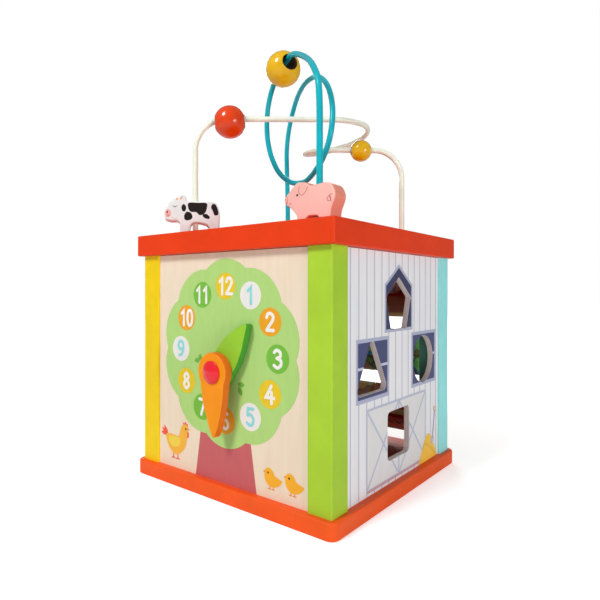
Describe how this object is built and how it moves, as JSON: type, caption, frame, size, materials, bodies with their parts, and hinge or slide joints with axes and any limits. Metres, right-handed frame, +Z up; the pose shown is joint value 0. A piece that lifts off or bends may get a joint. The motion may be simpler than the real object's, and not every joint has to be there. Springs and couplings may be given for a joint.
{
  "type": "shape sorter activity cube",
  "caption": "Wooden activity cube with a shape-sorting side, a toy clock, spinning blocks and a lift-off top that carries a bead maze.",
  "frame": {"origin": "centre of the base board's underside", "axes": "+Z up, -Y out of the clock side, +X out of the sorting side"},
  "size_m": [0.2, 0.2115, 0.3683],
  "materials": {
    "board_red": "satin paint on plywood",
    "base_orange": "satin paint on plywood",
    "post_yellow": "satin paint on wood",
    "post_green": "satin paint on wood",
    "post_cyan": "satin paint on wood",
    "post_orange": "satin paint on wood",
    "panel_wood": "printed plywood",
    "panel_grey": "printed plywood",
    "panel_sky": "printed plywood",
    "bare_wood": "plain sanded wood",
    "carrot_orange": "satin paint on wood",
    "leaf_green": "satin paint on wood",
    "knob_red": "glossy paint on wood",
    "wire_teal": "plastic-coated steel wire",
    "wire_cream": "plastic-coated steel wire",
    "bead_red": "glossy lacquer on wood",
    "bead_yellow": "glossy lacquer on wood",
    "pig_pink": "satin paint on wood",
    "cow_white": "satin paint on wood",
    "block_red": "satin paint on wood",
    "block_yellow": "satin paint on wood",
    "block_green": "satin paint on wood",
    "block_blue": "satin paint on wood",
    "screw_steel": "zinc plated"
  },
  "bodies": {
    "case": {"base_board": "base_orange", "post_yellow": "post_yellow", "post_green": "post_green", "post_cyan": "post_cyan", "post_orange": "post_orange", "base_screws": "screw_steel", "clock_panel": "panel_wood", "sorter_panel": "panel_grey", "meadow_panel": "panel_sky", "hand_washer": "bare_wood", "clock_spindle": "bare_wood", "clock_knob": "knob_red", "spinner_rod_1": "bare_wood", "spinner_rod_2": "bare_wood", "spinner_rod_3": "bare_wood", "spinner_spacers": "bare_wood"},
    "lid": {"top_board": "board_red", "lid_dowels": "bare_wood", "wire_teal": "wire_teal", "wire_cream": "wire_cream"},
    "hour_hand": {"hour_hand": "leaf_green"},
    "minute_hand": {"minute_hand": "carrot_orange"},
    "spinner_block_11": {"spinner_block_11": "block_green"},
    "spinner_block_12": {"spinner_block_12": "block_yellow"},
    "spinner_block_13": {"spinner_block_13": "block_red"},
    "spinner_block_21": {"spinner_block_21": "block_red"},
    "spinner_block_22": {"spinner_block_22": "block_green"},
    "spinner_block_23": {"spinner_block_23": "block_blue"},
    "spinner_block_31": {"spinner_block_31": "block_yellow"},
    "spinner_block_32": {"spinner_block_32": "block_blue"},
    "spinner_block_33": {"spinner_block_33": "block_red"},
    "sorter_block_pentagon": {"sorter_block_pentagon": "block_blue"},
    "sorter_block_triangle": {"sorter_block_triangle": "block_green"},
    "sorter_block_circle": {"sorter_block_circle": "block_yellow"},
    "sorter_block_square": {"sorter_block_square": "block_red"},
    "bead_yellow_large": {"bead_yellow_large": "bead_yellow"},
    "bead_red": {"bead_red": "bead_red"},
    "bead_yellow_small": {"bead_yellow_small": "bead_yellow"},
    "pig": {"pig": "pig_pink"},
    "cow": {"cow": "cow_white"}
  },
  "joints": [
    {"name": "lid_lift", "type": "slide", "parent": "case", "child": "lid", "axis": [0, 0, 1], "range_m": [0, 0.2]},
    {"name": "hour_hand_turn", "type": "hinge", "parent": "case", "child": "hour_hand", "pos_m": [0.0003, -0.102, 0.0965], "axis": [0, 1, 0], "continuous": true},
    {"name": "minute_hand_turn", "type": "hinge", "parent": "case", "child": "minute_hand", "pos_m": [0.0003, -0.102, 0.0965], "axis": [0, 1, 0], "continuous": true},
    {"name": "spin_11", "type": "hinge", "parent": "case", "child": "spinner_block_11", "pos_m": [-0.0474, 0.082, 0.0435], "axis": [1, 0, 0], "continuous": true},
    {"name": "spin_12", "type": "hinge", "parent": "case", "child": "spinner_block_12", "pos_m": [0, 0.082, 0.0435], "axis": [1, 0, 0], "continuous": true},
    {"name": "spin_13", "type": "hinge", "parent": "case", "child": "spinner_block_13", "pos_m": [0.0474, 0.082, 0.0435], "axis": [1, 0, 0], "continuous": true},
    {"name": "spin_21", "type": "hinge", "parent": "case", "child": "spinner_block_21", "pos_m": [-0.0474, 0.082, 0.0977], "axis": [1, 0, 0], "continuous": true},
    {"name": "spin_22", "type": "hinge", "parent": "case", "child": "spinner_block_22", "pos_m": [0, 0.082, 0.0977], "axis": [1, 0, 0], "continuous": true},
    {"name": "spin_23", "type": "hinge", "parent": "case", "child": "spinner_block_23", "pos_m": [0.0474, 0.082, 0.0977], "axis": [1, 0, 0], "continuous": true},
    {"name": "spin_31", "type": "hinge", "parent": "case", "child": "spinner_block_31", "pos_m": [-0.0474, 0.082, 0.1519], "axis": [1, 0, 0], "continuous": true},
    {"name": "spin_32", "type": "hinge", "parent": "case", "child": "spinner_block_32", "pos_m": [0, 0.082, 0.1519], "axis": [1, 0, 0], "continuous": true},
    {"name": "spin_33", "type": "hinge", "parent": "case", "child": "spinner_block_33", "pos_m": [0.0474, 0.082, 0.1519], "axis": [1, 0, 0], "continuous": true},
    {"name": "pentagon_lift", "type": "slide", "parent": "case", "child": "sorter_block_pentagon", "axis": [0, 0, 1], "range_m": [0, 0.12]},
    {"name": "triangle_lift", "type": "slide", "parent": "case", "child": "sorter_block_triangle", "axis": [0, 0, 1], "range_m": [0, 0.12]},
    {"name": "circle_lift", "type": "slide", "parent": "case", "child": "sorter_block_circle", "axis": [0, 0, 1], "range_m": [0, 0.12]},
    {"name": "square_lift", "type": "slide", "parent": "case", "child": "sorter_block_square", "axis": [0, 0, 1], "range_m": [0, 0.12]},
    {"name": "bead_yellow_large_spin", "type": "hinge", "parent": "lid", "child": "bead_yellow_large", "pos_m": [-0.0143, -0.0067, 0.3528], "axis": [0.8884, -0.4494, 0.0941], "continuous": true},
    {"name": "bead_red_slide", "type": "slide", "parent": "lid", "child": "bead_red", "axis": [0.7709, 0.637, -0.0032], "range_m": [0, 0.065]},
    {"name": "bead_yellow_small_slide", "type": "slide", "parent": "lid", "child": "bead_yellow_small", "axis": [0.7623, 0.6472, -0.0072], "range_m": [-0.014, 0.002]},
    {"name": "pig_slide", "type": "slide", "parent": "lid", "child": "pig", "axis": [0, 0, 1], "range_m": [0, 0.055]},
    {"name": "cow_slide", "type": "slide", "parent": "lid", "child": "cow", "axis": [0, 0, 1], "range_m": [0, 0.04]}
  ]
}
